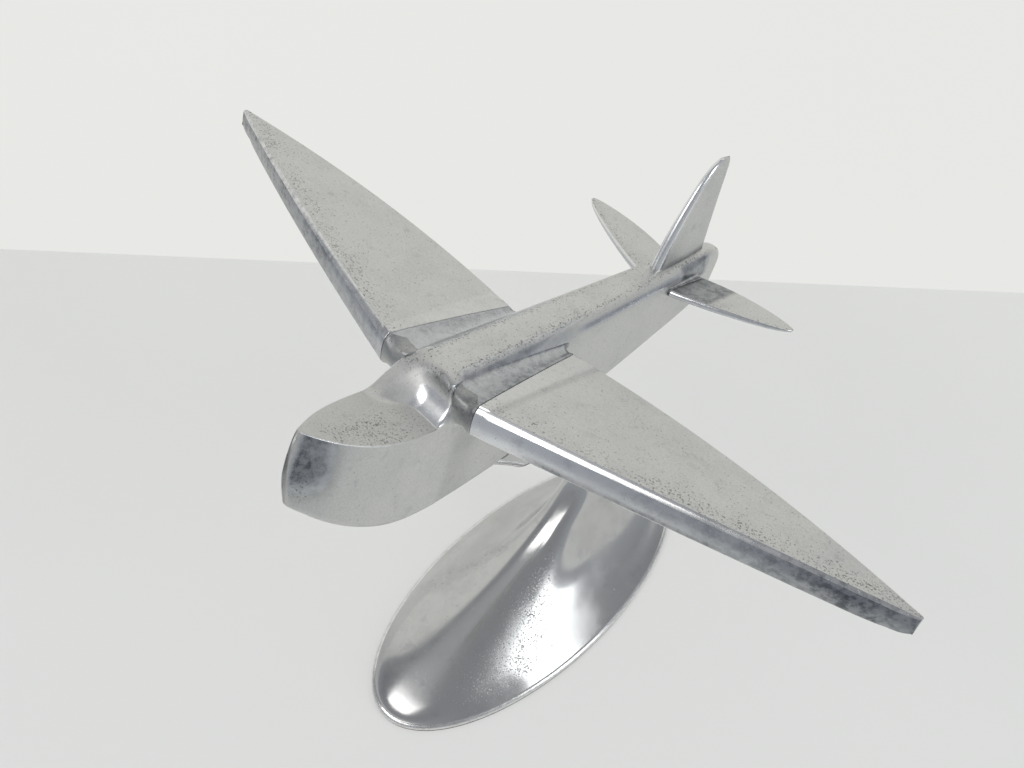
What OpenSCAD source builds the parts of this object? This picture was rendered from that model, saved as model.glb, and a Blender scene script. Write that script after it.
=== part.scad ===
// Cast aluminium desk model of an airplane, climbing on a swept stand.
// Millimetres, +Z up, nose towards -Y, port wing towards +X.
// The origin is the centre of the oval foot on the table.
// The airplane is drawn level in its own frame, whose origin is the top of the wing's
// leading edge at the root, and airframe() then sets it at its height and climb angle.

/* [Attitude] */
// Climb angle, nose up
climb = 23.2; // [20:0.2:26]
// Height of the wing root's leading edge above the table
flight_h = 222; // [214:1:232]
// Wing root's leading edge ahead of the foot's centre
flight_ahead = 53; // [48:1:58]

/* [Fuselage] */
// Length of the nose ahead of the wing root
nose_len = 54; // [50:1:60]
// Length of the body behind the wing root's leading edge
tail_len = 186; // [182:1:196]
// Greatest width of the body
body_w = 28.6; // [26:0.2:31]
// Depth of the belly below the wing root's leading edge
belly_depth = 55.6; // [54:0.2:60]
// Height of the top deck above the wing root's leading edge, at the front
deck_h = 3.8; // [3:0.1:5]
// Climb of the top deck towards the tail, per millimetre
deck_climb = 0.035; // [0.03:0.001:0.042]
// Radius of the belly's edges
belly_r = 3.5; // [2.5:0.1:4]
// Depth of the flat nose deck below the wing root's leading edge
nose_deck_drop = 12.6; // [11:0.1:14]
// Radius of the hollow between the nose deck and the top deck
cove_r = 9; // [6:0.5:10]
// Forward bulge of the nose stem
stem_bulge = 2.4; // [1:0.1:4]
// How far the stem's foot lies aft of its tip
stem_rake = 1.5; // [0:0.1:3]
// Rise of the belly behind the stand, per millimetre
belly_rise = 0.312; // [0.3:0.002:0.32]

/* [Wings] */
// Span from tip to tip
wing_span = 340; // [310:1:380]
// Chord at the root
wing_chord = 62.3; // [58:0.2:66]
// Sweep of the leading edge at the tip
wing_sweep = 49.3; // [44:0.2:54]
// Rise of the wing tip above the root
wing_rise = 8.6; // [5:0.2:11]
// Height of the leading edge's face at the root
wing_face = 12.4; // [11:0.1:13.5]
// Loss of the face's height towards the tip
wing_face_taper = 1.4; // [0:0.1:3]
// Thickness of the trailing edge
wing_edge = 1.4; // [1:0.1:2]
// Chord left at the tip
wing_tip = 1.8; // [1.4:0.1:4]
// Place of the joint on the leading edge, from the middle
wing_joint_x = 22.8; // [21:0.2:25]
// How much nearer the middle the joint lies at the trailing edge
wing_joint_in = 6; // [4:0.2:7]
// Gap at the joint between a wing and its stub
wing_joint_gap = 0.15; // [0.1:0.05:0.3]

/* [Tail] */
// Span of the tailplane
tail_span = 112; // [104:1:120]
// Chord of the tailplane at its root
tail_chord = 25; // [23:0.2:27]
// Place of the tailplane's leading edge behind the wing's
tail_y = 135; // [132:0.5:137]
// Height of the tailplane above the wing root's leading edge
tail_z = 5.8; // [5:0.1:6.6]
// Height of the tailplane's leading edge face
tail_face = 3.2; // [2.8:0.1:3.8]
// Place of the tailplane's joint from the middle
tail_joint_x = 9.2; // [8.8:0.1:10]
// Gap at the tailplane's and the fin's joints
tail_joint_gap = 0.15; // [0.1:0.05:0.3]
// Height of the fin above its seat
fin_h = 47; // [44:0.5:54]
// Length of the fin at its foot
fin_len = 36; // [34:0.5:37]
// Thickness of the fin at its foot
fin_t = 5.4; // [5:0.1:6]
// Depth of the fin's seat in the top deck
fin_seat = 1; // [0.6:0.1:1.5]

/* [Joining rods and pins] */
// Diameter of the front wing rod
front_rod_d = 5; // [4:0.1:5.4]
// Diameter of the rear wing rod
rear_rod_d = 3; // [2.5:0.1:3.2]
// Reach of the front wing rod into each wing
front_rod_in = 20; // [14:0.5:22]
// Reach of the rear wing rod into each wing
rear_rod_in = 14; // [10:0.5:16]
// Diameter of the tailplane rod
tail_rod_d = 1.8; // [1.5:0.1:1.9]
// Reach of the tailplane rod into each half
tail_rod_in = 9; // [6:0.5:10]
// Diameter of the two fin pins
fin_pin_d = 2.5; // [2:0.1:2.8]
// Reach of a fin pin into the fin
fin_pin_in = 7; // [5:0.5:8]
// Diameter of the two stand pins
stand_pin_d = 5; // [4:0.1:6]
// Reach of a stand pin into the stand and into the belly
stand_pin_in = 10; // [7:0.5:11]
// Clearance round a rod or pin
pin_gap = 0.05; // [0.03:0.01:0.1]

/* [Stand] */
// Length of the oval foot
foot_len = 194.8; // [180:0.2:210]
// Width of the oval foot
foot_w = 90.8; // [84:0.2:98]
// Height of the foot's upright lip
lip_h = 2.6; // [2:0.1:4]
// Draft of the lip, from its foot to its top
lip_draft = 0.7; // [0:0.1:1.5]
// Step from the lip to the dome
lip_step = 0.5; // [0.4:0.1:1.2]
// Height over which the dome sweeps up into the neck
sweep_h = 75; // [66:1:82]
// Rise of the domed toe over the plain sweep
toe_dome = 6; // [0:0.2:7]
// Bluntness of the ridge along the dome, 0 for a plain oval section
ridge_blunt = 0.15; // [0:0.01:0.25]
// Place of the neck behind the foot's centre
neck_back = 40; // [34:1:44]
// Length of the neck's section, fore and aft
neck_len = 24; // [20:0.5:28]
// Width of the neck
neck_w = 19; // [17:0.5:21]
// Height of the flare under the head
head_flare = 24; // [20:1:30]
// Length of the head under the belly
head_len = 44; // [40:0.5:47]
// Width of the head
head_w = 23; // [21:0.5:24]
// Thickness of the felt under the foot
felt_t = 1.2; // [1:0.1:2.5]
// How far the felt stays inside the foot's edge
felt_in = 0.3; // [0.2:0.1:2]

/* [Hidden] */
eps = 0.01;
body_hw = body_w / 2;

// Place where the belly turns straight and the stand's seat starts, and its depth there
knee_y = 42.6;
knee_rise = 4.2;
knee_z = -belly_depth + knee_rise;
seat_angle = atan(belly_rise);
seat_mid = knee_y + head_len / 2 + 1.5;

// A point of the airframe's middle plane in the table's frame
function table_y(y, z) = -flight_ahead + y * cos(climb) + z * sin(climb);
function table_z(y, z) = flight_h + z * cos(climb) - y * sin(climb);

function mix(a, b, t) = a + (b - a) * t;
function clamp(v, low, high) = min(high, max(low, v));

module airframe() {
    translate([0, -flight_ahead, flight_h])
        rotate([-climb, 0, 0])
            children();
}

module port_and_starboard() {
    children();
    mirror([1, 0, 0]) children();
}

function middle(ring) = [for (p = ring) 1] * ring / len(ring);

// Skin over a list of rings with the same number of points, closed at both ends.
// Each ring runs anticlockwise for an eye that looks along the stack.
module loft(rings) {
    n = len(rings[0]);
    m = len(rings);
    sides = [for (i = [0:m - 2], j = [0:n - 1], k = [0, 1])
        let (a = i * n + j, b = i * n + (j + 1) % n, c = a + n, d = b + n)
            k == 0 ? [a, b, c] : [b, d, c]];
    start = [for (j = [0:n - 1]) [(j + 1) % n, j, m * n]];
    finish = [for (j = [0:n - 1]) [(m - 1) * n + j, (m - 1) * n + (j + 1) % n, m * n + 1]];
    polyhedron(concat([for (r = rings) each r], [middle(rings[0]), middle(rings[m - 1])]),
               concat(sides, start, finish), convexity = 8);
}

// Fuselage: half width, top and belly at a place y along the body
nose_full = 48;
waist_y = 8;
tail_end = 18;
tail_droop = 4;
round_y = tail_len - tail_end;
function nose_u(y) = clamp((y + nose_len) / nose_full, 0, 1);
function aft_v(y) = max(0, (y - waist_y) / (tail_len - 6 - waist_y));
function half_width(y) =
    y < waist_y ? body_hw * (1 - pow(1 - nose_u(y), 2.7))
    : body_hw * (1 - 0.5 * aft_v(y) - 0.22 * pow(aft_v(y), 6));
function top_z(y) =
    let (roll = clamp((roll_end - y) / (roll_end - hollow_end), 0, 1))
    deck_h + deck_climb * y + 0.00018 * y * y * sign(max(0, y)) - deck_roll * (1 - sqrt(1 - roll * roll));
function belly_z(y) =
    y < 0 ? -belly_depth + 19.6 * pow(-y / nose_len, 1.75)
    : y < knee_y ? -belly_depth + knee_rise * pow(y / knee_y, 1.5)
    : y < 140 ? knee_z + belly_rise * (y - knee_y)
    : knee_z + belly_rise * (140 - knee_y) + 0.26 * (y - 140);

// The nose deck dips from the stem's tip, and meets the top deck in a hollow that bows
// forward at both sides. The top deck rolls over into the hollow's upper edge.
hollow_end = -1;
hollow_bow = 1.7;
roll_end = 8;
deck_roll = 4.8;
function nose_deck_z(y) = -nose_deck_drop + 9 * pow(clamp(-(y + 6) / nose_full, 0, 1.1), 2.3);

// One side of a body section, from the top's middle down to the belly's middle.
// The top is the lower one of the crowned deck and roof, the height that is carved there.
function half_section(y, roof) =
    let (w = max(half_width(y), 0.25),
         top = top_z(y),
         belly = belly_z(y),
         waist = mix(-nose_deck_drop + 0.6, top - 11, clamp(y / 60, 0, 1)),
         edge = min(waist, roof - 0.35),
         blunt = 0.25 * (1 - nose_u(y)),
         low_w = w * pow(w / body_hw, -blunt),
         r = min(belly_r, low_w * 0.6))
    concat(
        [for (i = [0:7]) let (a = i * 90 / 8, crown = waist + (top - waist) * pow(cos(a), 0.72))
            [w * pow(sin(a), 0.62), min(crown, roof)]],
        [for (i = [0:4]) let (t = i / 4)
            [mix(w, low_w, min(1, t * 2)), mix(edge, belly + r, t)]],
        [for (a = [22.5:22.5:90]) [low_w - r + r * cos(a), belly + r - r * sin(a)]]);

function stem_shift(y, z) =
    let (t = clamp((-3.5 - z) / (belly_depth - 23.9), 0, 1))
    (stem_bulge * 4 * pow(t, 0.8) * (1 - t) - stem_rake * t) * pow(clamp(-y / nose_len, 0, 1), 6);

function both_sides(half) =
    concat([for (p = half) [-p[0], p[1]]], [for (i = [len(half) - 1:-1:1]) half[i]]);

// A body section square to the body, shrunk by k about a middle that droops towards the end
function flat_ring(y, roof = 100, k = 1) =
    let (mid = (top_z(y) + belly_z(y)) / 2)
    [for (p = both_sides(half_section(y, roof)))
        let (z = mid + (p[1] - mid) * k - tail_droop * (1 - k))
        [p[0] * k, y - stem_shift(y, z), z]];

// A body section bowed along the hollow
function bowed_ring(y, roof, share = 1) =
    [for (p = both_sides(half_section(y, roof)))
        [p[0], y - share * hollow_bow * pow(p[0] / body_hw, 2), p[1]]];

module body_shell() {
    loft(concat(
        [for (i = [0:14])
            let (y = -nose_len + 0.15 + (nose_len + hollow_end - cove_r - 2) * pow(i / 14, 1.5))
            flat_ring(y, nose_deck_z(y))],
        [for (a = [0:15:90])
            bowed_ring(hollow_end - cove_r * (1 - sin(a)), -nose_deck_drop + cove_r * (1 - cos(a)))],
        [bowed_ring(hollow_end + 0.25, 100)],
        [for (i = [1:5]) let (t = i / 5, y = mix(hollow_end, roll_end, pow(t, 1.6)))
            bowed_ring(y, 100, 1 - t)],
        [for (y = [14, 20, 26, 32, 37.5]) flat_ring(y)],
        [for (i = [0:13]) flat_ring(knee_y + (round_y - knee_y) * i / 13)],
        [for (a = [12, 24, 36, 48, 60, 72, 84]) flat_ring(round_y + tail_end * sin(a), 100, cos(a))]));
}

// A wedge section: upright face in front, flat top, thin edge behind.
// front and back are [x, y, z] of the top's two ends.
function wedge(front, back, face, edge, lean = 0.7, belly = 0.9, crown = 0.5) =
    let (chord = max(1, back[1] - front[1]))
    concat(
        [for (i = [0:6]) let (f = i / 6)
            [mix(front[0], back[0], f), mix(front[1], back[1], f),
             mix(front[2], back[2], f) + crown * 4 * f * (1 - f)]],
        [for (i = [0:4]) let (t = i / 4, f = mix(1, lean / chord, t))
            [mix(front[0], back[0], f), mix(front[1], back[1], f),
             mix(back[2] - edge, front[2] - face, t) - 0.8 * crown * t * (1 - t)]],
        [for (i = [1:4]) let (t = i / 5, f = (lean * (1 - t) - belly * 4 * t * (1 - t)) / chord)
            [mix(front[0], back[0], f), mix(front[1], back[1], f),
             mix(front[2] - face, front[2], t)]]);

// Wings
wing_hs = wing_span / 2;
wing_foot = 9.9;
function wing_u(x) = (x - wing_foot) / (wing_hs - wing_foot);
function wing_front(x) =
    let (u = wing_u(x))
    [x, wing_sweep * (0.7 * u + 0.3 * u * u), (wing_rise + 8) * u - 8 * u * u];
function wing_back(x) =
    let (u = wing_u(x))
    [x, wing_chord + (wing_sweep + wing_tip - wing_chord) * u + 28 * u * (1 - u), wing_rise * u];
function wing_face_at(x) =
    let (u = wing_u(x)) (wing_face - wing_face_taper * u) * (1 - 0.36 * pow(u, 36));
wing_root_back_x = wing_joint_x - wing_joint_in;

// Section of the wing at a share v of the way from the joint to the tip
function wing_ring(v) =
    let (xf = mix(wing_joint_x, wing_hs, v), xb = mix(wing_root_back_x, wing_hs, v),
         chord = wing_back(xb)[1] - wing_front(xf)[1])
    wedge(wing_front(xf), wing_back(xb), wing_face_at(xf), wing_edge,
          lean = min(0.7 + 2 * v, chord * 0.4), belly = min(0.9, chord * 0.2),
          crown = 0.5 - 0.4 * v);

module front_rod(d, reach) {
    rotate([0, 90, 0])
        cylinder(h = 2 * reach, d = d, center = true, $fn = 48);
}

// Rod places on the chord, as shares of it, and their ends
front_rod_y = wing_chord * 0.29;
rear_rod_y = wing_chord * 0.6;
front_rod_z = -wing_face * 0.29;
rear_rod_z = -wing_face * 0.18;
front_rod_end = wing_joint_x - wing_joint_in * 0.25 + front_rod_in;
rear_rod_end = wing_joint_x - wing_joint_in * 0.6 + rear_rod_in;

module wing_rod_cuts(extra = 0) {
    translate([0, front_rod_y, front_rod_z])
        front_rod(front_rod_d + 2 * pin_gap, front_rod_end + extra);
    translate([0, rear_rod_y, rear_rod_z])
        front_rod(rear_rod_d + 2 * pin_gap, rear_rod_end + extra);
}

module wing() {
    difference() {
        loft([for (i = [0:26]) let (v = pow(i / 26, 1.1))
            [for (p = wing_ring(v)) p + [i == 0 ? wing_joint_gap : 0, 0, 0]]]);
        wing_rod_cuts(0.5);
    }
}

// A stub of the body that a wing is joined to. Its section grows inwards in a hollow fillet.
// grow holds the growth at the front, back and bottom where it meets the body, and at the top.
function stub_ring(ring, inner_x, t, grow) =
    let (e = 1 - sqrt(1 - pow(min(1, t / 0.6), 2)),
         y0 = min([for (p = ring) p[1]]),
         y1 = max([for (p = ring) p[1]]),
         z0 = min([for (p = ring) p[2]]),
         z1 = max([for (p = ring) p[2]]),
         retreat = max(0, t - 0.6) * 15)
    [for (p = ring) let (f = (p[1] - y0) / (y1 - y0), g = (p[2] - z0) / (z1 - z0))
        [mix(p[0], inner_x, t),
         p[1] + e * mix(-grow[0], grow[1], f) + retreat * (1 - f),
         p[2] - e * grow[2] * (1 - g) + t * t * grow[3] * g * (0.6 + 0.8 * f)]];

module stub(ring, inner_x, grow) {
    loft([for (t = [1, 0.8, 0.6, 0.57, 0.52, 0.45, 0.35, 0.2, 0]) stub_ring(ring, inner_x, t, grow)]);
}

// Tailplane
tail_hs = tail_span / 2;
function tail_u(x) = (x - tail_joint_x) / (tail_hs - tail_joint_x);
function tail_ring(x) =
    let (u = tail_u(x), tip = 1 - pow(u, 6) * 0.55)
    wedge([x, tail_y + 14.7 * u + 7.9 * u * u + 1.2 * pow(u, 8), tail_z + 3.3 * u],
          [x, tail_y + tail_chord + 16.5 * u - 16.5 * u * u - 0.4 * pow(u, 8), tail_z + 3.3 * u],
          tail_face * (1 - 0.35 * u) * tip, min(1, tail_face * 0.4) * tip,
          lean = 0.3, belly = 0.5 * (1 - 0.8 * u), crown = 0.25 - 0.2 * u);
tail_rod_y = tail_y + tail_chord * 0.46;
tail_rod_z = tail_z - tail_face * 0.36;
tail_rod_end = tail_joint_x + tail_rod_in;

module tail_rod_cut(extra = 0) {
    translate([0, tail_rod_y, tail_rod_z])
        front_rod(tail_rod_d + 2 * pin_gap, tail_rod_end + extra);
}

module tailplane() {
    difference() {
        loft([for (i = [0:16]) let (x = mix(tail_joint_x, tail_hs, 1 - pow(1 - i / 16, 1.4)))
            [for (p = tail_ring(x)) p + [i == 0 ? tail_joint_gap : 0, 0, 0]]]);
        tail_rod_cut(0.5);
    }
}

// Fin: its foot follows the top deck, sunk by the depth of its seat
fin_front_y = tail_y - 4.7;
fin_back_y = fin_front_y + fin_len;
function fin_foot_z(y) =
    mix(top_z(fin_front_y), top_z(fin_back_y), (y - fin_front_y) / fin_len) - fin_seat;
function fin_ring(t, gap = 0) =
    let (z = t * (fin_h + fin_seat),
         tip = pow(clamp((t - 0.82) / 0.18, 0, 1), 2.4),
         front = fin_front_y - gap + 15.5 * pow(t, 1.6) + 6 * tip,
         back = fin_back_y + gap - 8.3 * pow(t, 0.85) - 2.5 * tip,
         w = fin_t / 2 * (1 - 0.55 * t) * (1 - 0.5 * tip) + gap,
         waist = mix(front, back, 0.5),
         outline = concat(
             [for (a = [0:22.5:180]) [w * cos(a), front + 1.3 * w * (1 - sin(a))]],
             [[-0.8 * w, waist], [-0.25 * w, back - 0.3], [-0.12 * w, back]],
             [[0.12 * w, back], [0.25 * w, back - 0.3], [0.8 * w, waist]]))
    [for (p = outline) [p[0], p[1], fin_foot_z(p[1]) + z]];
fin_pin_y = [fin_front_y + fin_len * 0.22, fin_front_y + fin_len * 0.6];
fin_pin_down = 8;

module fin_pin_set(gap = 0, extra = 0) {
    for (y = fin_pin_y)
        translate([0, y, fin_foot_z(y) - fin_pin_down - extra])
            cylinder(h = fin_pin_down + fin_pin_in + 2 * extra, d = fin_pin_d + 2 * gap, $fn = 36);
}

// Stand: level rings from the foot's lip to the head, then cut off along the belly
lip_top = felt_t + lip_h;
head_y = table_y(seat_mid, belly_z(seat_mid));
head_z = table_z(seat_mid, belly_z(seat_mid));
neck_z = 50;
function neck_y(z) = mix(neck_back, head_y, pow(max(0, (z - neck_z) / (head_z - neck_z)), 2));
function sweep(z, power) = pow(clamp(1 - (z - lip_top) / sweep_h, 0, 1), power);
function ease(t) = t * t * (3 - 2 * t);
function over(z, from, to) = ease(clamp((z - from) / (to - from), 0, 1));
// Height at which the plain sweep is as long as the domed toe is at height z
function toe_z(z) =
    z - toe_dome * (1 - exp(-max(0, z - lip_top) / (toe_dome + 0.5)))
        * (1 - over(z, lip_top, lip_top + sweep_h));
head_depth = 20;
function head_share(z) = pow(clamp((z - head_z + head_depth + head_flare) / head_flare, 0, 1), 4);
function bulge(v, power) = sign(v) * pow(abs(v), power);
function stand_ring(z, inset = 0) =
    let (dome = z > lip_top - eps,
         oval = 1 - ridge_blunt * over(z, lip_top, lip_top + 8) * (1 - over(z, 40, 80)),
         square = mix(oval, 0.38, pow(head_share(z), 0.6)),
         a0 = foot_len / 2 - inset,
         swell = mix(neck_len, head_len, head_share(z)) / 2,
         front = dome ? neck_y(z) - swell - (a0 + neck_back - neck_len / 2) * sweep(toe_z(z), 3) : -a0,
         back = dome ? neck_y(z) + swell + (a0 - neck_back - neck_len / 2) * sweep(z, 3.1) : a0,
         side = dome ? mix(neck_w, head_w, head_share(z)) / 2
             + (foot_w / 2 - inset - neck_w / 2) * sweep(z, 4.5) : foot_w / 2 - inset,
         mid = (front + back) / 2, long = (back - front) / 2)
    [for (i = [0:47]) let (a = i * 7.5)
        [side * bulge(sin(a), square), mid + long * bulge(cos(a), square), z]];

// The frame of the seat: its origin is where the belly turns straight, and +Y runs aft
module belly_seat() {
    translate([0, knee_y, belly_z(knee_y)])
        rotate([seat_angle, 0, 0])
            children();
}

stand_pin_s = [head_len * 0.42, head_len * 0.82];
module stand_pin_set(gap = 0, extra = 0) {
    for (s = stand_pin_s)
        translate([0, s, -stand_pin_in - extra])
            cylinder(h = 2 * (stand_pin_in + extra), d = stand_pin_d + 2 * gap, $fn = 48);
}

// Pieces
module fuselage() {
    color("silver")
        airframe()
            difference() {
                union() {
                    body_shell();
                    port_and_starboard() {
                        stub(wing_ring(0), body_hw * 0.6, [4, 5, 4, 1.5]);
                        stub(tail_ring(tail_joint_x), tail_joint_x * 0.4, [3, 4, 1.6, 1.2]);
                    }
                }
                loft([for (t = [0, 0.2]) fin_ring(t, tail_joint_gap)]);
                fin_pin_set(pin_gap, 0.3);
                wing_rod_cuts(1);
                tail_rod_cut(1);
                belly_seat() stand_pin_set(pin_gap, 0.3);
            }
}

module port_wing() {
    color("gainsboro") airframe() wing();
}

module starboard_wing() {
    color("gainsboro") airframe() mirror([1, 0, 0]) wing();
}

module front_wing_rod() {
    color("slategray")
        airframe()
            translate([0, front_rod_y, front_rod_z])
                front_rod(front_rod_d, front_rod_end);
}

module rear_wing_rod() {
    color("slategray")
        airframe()
            translate([0, rear_rod_y, rear_rod_z])
                front_rod(rear_rod_d, rear_rod_end);
}

module fin() {
    color("gainsboro")
        airframe()
            difference() {
                loft([for (i = [0:20]) fin_ring(i / 20)]);
                fin_pin_set(pin_gap, 0.3);
            }
}

module fin_pins() {
    color("slategray") airframe() fin_pin_set();
}

module port_tailplane() {
    color("gainsboro") airframe() tailplane();
}

module starboard_tailplane() {
    color("gainsboro") airframe() mirror([1, 0, 0]) tailplane();
}

module tailplane_rod() {
    color("slategray")
        airframe()
            translate([0, tail_rod_y, tail_rod_z])
                front_rod(tail_rod_d, tail_rod_end);
}

module stand() {
    color("lightgray")
        difference() {
            loft(concat(
                [stand_ring(felt_t, 0.4), stand_ring(felt_t + 0.4), stand_ring(lip_top - 0.4, lip_draft)],
                [for (i = [0:24]) let (z = lip_top + 0.05 + sweep_h * pow(i / 24, 1.5))
                    stand_ring(z, lip_draft + lip_step)],
                [for (i = [1:16]) let (z = mix(lip_top + 0.05 + sweep_h, head_z + 14, pow(i / 16, 0.8)))
                    stand_ring(z, lip_draft + lip_step)]));
            airframe() {
                belly_seat() {
                    translate([-80, -80, 0]) cube([160, 160, 80]);
                    stand_pin_set(pin_gap, 0.3);
                }
            }
        }
}

module stand_pins() {
    color("slategray") airframe() belly_seat() stand_pin_set();
}

module felt_pad() {
    color("darkslategray")
        linear_extrude(felt_t)
            polygon([for (i = [0:119]) let (a = i * 3)
                [(foot_w / 2 - felt_in) * cos(a), (foot_len / 2 - felt_in) * sin(a)]]);
}

fuselage();
port_wing();
starboard_wing();
front_wing_rod();
rear_wing_rod();
fin();
fin_pins();
port_tailplane();
starboard_tailplane();
tailplane_rod();
stand();
stand_pins();
felt_pad();
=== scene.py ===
# %% [markdown]
# Cast aluminium desk model of an airplane
# The real object is a small airplane in sand-cast aluminium that climbs away from a swept stand
# with an oval foot. Its parts were filed, sanded and polished by hand. The CAD model already holds
# every piece at its true size, so this lesson works inside that frame: it remakes each visible
# casting as a finer, softer-edged skin, and then gives the metal its finish.

import math

import bmesh
import bpy
from mathutils import Matrix, Vector
from mathutils.bvhtree import BVHTree


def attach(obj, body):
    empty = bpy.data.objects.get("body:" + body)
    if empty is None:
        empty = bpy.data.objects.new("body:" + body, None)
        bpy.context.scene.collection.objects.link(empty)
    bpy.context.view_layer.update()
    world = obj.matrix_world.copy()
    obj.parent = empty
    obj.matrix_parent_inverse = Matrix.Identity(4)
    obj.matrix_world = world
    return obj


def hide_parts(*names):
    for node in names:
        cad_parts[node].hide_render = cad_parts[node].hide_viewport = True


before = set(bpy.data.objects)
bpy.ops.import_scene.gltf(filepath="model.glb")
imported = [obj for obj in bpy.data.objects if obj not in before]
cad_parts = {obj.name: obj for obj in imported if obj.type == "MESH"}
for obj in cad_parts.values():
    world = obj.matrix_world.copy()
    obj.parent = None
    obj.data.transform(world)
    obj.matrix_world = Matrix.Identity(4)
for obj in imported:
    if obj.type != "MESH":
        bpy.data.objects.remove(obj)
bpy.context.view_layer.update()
print("CAD pieces:", ", ".join(sorted(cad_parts)))

# %% [markdown]
# The camera
# The photograph looks down on the model from ahead and to port. The camera's place and lens were
# found by matching the wing tips, the nose and the foot, so the script only states the result:
# where it stands, which way it faces, and a field 1024 pixels wide.

# %% Place the camera
FOCAL_PX, FIELD_PX, SENSOR_MM = 1167.79, 1024, 36
turn, tilt, roll = math.radians(45.34), math.radians(52.08), math.radians(-0.28)
backward = Vector((math.cos(tilt) * math.sin(turn), -math.cos(tilt) * math.cos(turn),
                   math.sin(tilt)))
level = Vector((math.cos(turn), math.sin(turn), 0))
upward = backward.cross(level)
across = math.cos(roll) * level + math.sin(roll) * upward
upright = -math.sin(roll) * level + math.cos(roll) * upward
camera_place = Vector((0.1971, -0.2055, 0.5343))
camera_data = bpy.data.cameras.new("photo_camera")
camera_data.sensor_width = SENSOR_MM
camera_data.lens = FOCAL_PX / FIELD_PX * SENSOR_MM
camera_data.clip_start = 0.01
camera = bpy.data.objects.new("photo_camera", camera_data)
facing = Matrix((across, upright, backward)).transposed().to_4x4()
camera.matrix_world = Matrix.Translation(camera_place) @ facing
bpy.context.scene.collection.objects.link(camera)
bpy.context.scene.camera = camera
print("camera lens", round(camera_data.lens, 2), "mm")

# %% [markdown]
# The airframe's own frame
# An airplane is easiest to draw level. Everything above the stand is therefore worked out in
# millimetres in a level frame, whose origin is the top of the wing's leading edge at the root,
# and one matrix sets it at its height and climb angle and turns it to metres.

# %% The airframe matrix
WING_Y, WING_Z, CLIMB = -53, 222, math.radians(23.2)
TO_METRES = Matrix.Scale(0.001, 4)
AIRFRAME = TO_METRES @ Matrix.Translation((0, WING_Y, WING_Z)) @ Matrix.Rotation(-CLIMB, 4, "X")


def mix(a, b, t):
    return a + (b - a) * t


def clamp(v, low=0.0, high=1.0):
    return min(high, max(low, v))


def smooth(t):
    t = clamp(t)
    return t * t * (3 - 2 * t)


def arc_point(degrees):
    a = math.radians(degrees)
    return math.sin(a), math.cos(a)


def between(v, low, rise, high, fall):
    """Swells from 0 at low over a width of rise, and fades to 0 at high over fall."""
    return smooth((v - low) / rise) * smooth((high - v) / fall)


def power(v, p):
    return math.copysign(abs(v) ** p, v)


print("airframe origin", [round(v, 4) for v in AIRFRAME.translation])

# %% [markdown]
# Bending a grid into a skin
# Each casting is a shape whose cross-section changes slowly, like a ship's hull. The usual way to
# make one is to loft over a row of sections. Here a flat grid is made by the bmesh operator, each
# of its rows is laid on one section, the seam is welded and the two open ends are filled. Besides
# its place, a point carries four marks for the materials: how polished it is, how much of an edge
# it is, how pitted, and how dark. The edge mark is wear, and in places also a painted highlight;
# the dark mark is oxide and stains, and in places also painted shade and painted reflection.

# %% The skin helper
MARKS = ("polish", "edge", "pits", "dark")


def skin(bm, rings, marks):
    """Adds a closed tube over rings of points. marks(i, j) gives a point's four marks."""
    rows, columns = len(rings), len(rings[0])
    layers = [bm.verts.layers.float.get(m) or bm.verts.layers.float.new(m) for m in MARKS]
    grid = bmesh.ops.create_grid(bm, x_segments=columns, y_segments=rows - 1, size=1.0)["verts"]
    for v in grid:
        j = round((v.co.x + 1) / 2 * columns)
        i = round((v.co.y + 1) / 2 * (rows - 1))
        v.co = rings[i][j % columns]
        for layer, value in zip(layers, marks(i, j % columns)):
            v[layer] = value
    faces = {f for v in grid for f in v.link_faces}
    bmesh.ops.remove_doubles(bm, verts=grid, dist=1e-4)
    faces = [f for f in bm.faces if f in faces or f.is_valid and any(v in grid for v in f.verts)]
    ends = [e for e in {e for f in faces for e in f.edges} if e.is_boundary]
    caps = bmesh.ops.holes_fill(bm, edges=ends, sides=0)["faces"]
    bmesh.ops.recalc_face_normals(bm, faces=faces + caps)


def to_object(name, bm):
    data = bpy.data.meshes.new(name)
    bm.to_mesh(data)
    bm.free()
    made = bpy.data.objects.new(name, data)
    bpy.context.scene.collection.objects.link(made)
    return made


def piece(name, bm, matrix, node):
    """Turns a bmesh into a named object that stands for a CAD node."""
    bmesh.ops.transform(bm, matrix=matrix, verts=bm.verts)
    for face in bm.faces:
        face.smooth = True
    made = to_object(name, bm)
    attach(made, "root")
    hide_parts(node)
    spans = zip(*(v.co for v in made.data.vertices))
    size = [round(1000 * (max(span) - min(span)), 1) for span in spans]
    print(name, len(made.data.polygons), "faces, mm", size)
    return made


def ease_edges(bm, edges, width, segments):
    bmesh.ops.bevel(bm, geom=edges, offset=width, offset_type="OFFSET", segments=segments,
                    profile=0.5, affect="EDGES", material=-1)


# %% [markdown]
# The fuselage's lines
# The body is one casting with a knife-like stem, a deep belly and a slim tail. Five curves
# describe it: half width, top, belly, the nose deck and the hollow behind that deck. They are the
# same curves as in the CAD source. Only the stem's tip, which was filed round, and the hollow are
# drawn more exactly here.

# %% Body curves
HALF_BODY, NOSE, TAIL = 14.3, 54.0, 186.0
END_LEN = 18.0
ROUND_Y = TAIL - END_LEN
DECK_DROP = 12.6
BELLY_LOW = -55.6
SEAT_Y, SEAT_Z, SEAT_SLOPE = 42.6, -51.4, 0.312
TAPER_Y, TAPER_SLOPE = 140, 0.26


def nose_share(y):
    return clamp((y + NOSE) / 48)


def half_width(y):
    if y < 8:
        wedge = HALF_BODY * (1 - (1 - nose_share(y)) ** 2.7)
        ahead = max(0.0, y + NOSE)
        return math.sqrt(wedge * wedge + 2.0 * ahead * math.exp(-ahead / 2.5) + 0.0025)
    aft = (y - 8) / (TAIL - 14)
    return HALF_BODY * (1 - 0.5 * aft - 0.22 * aft ** 6)


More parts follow.
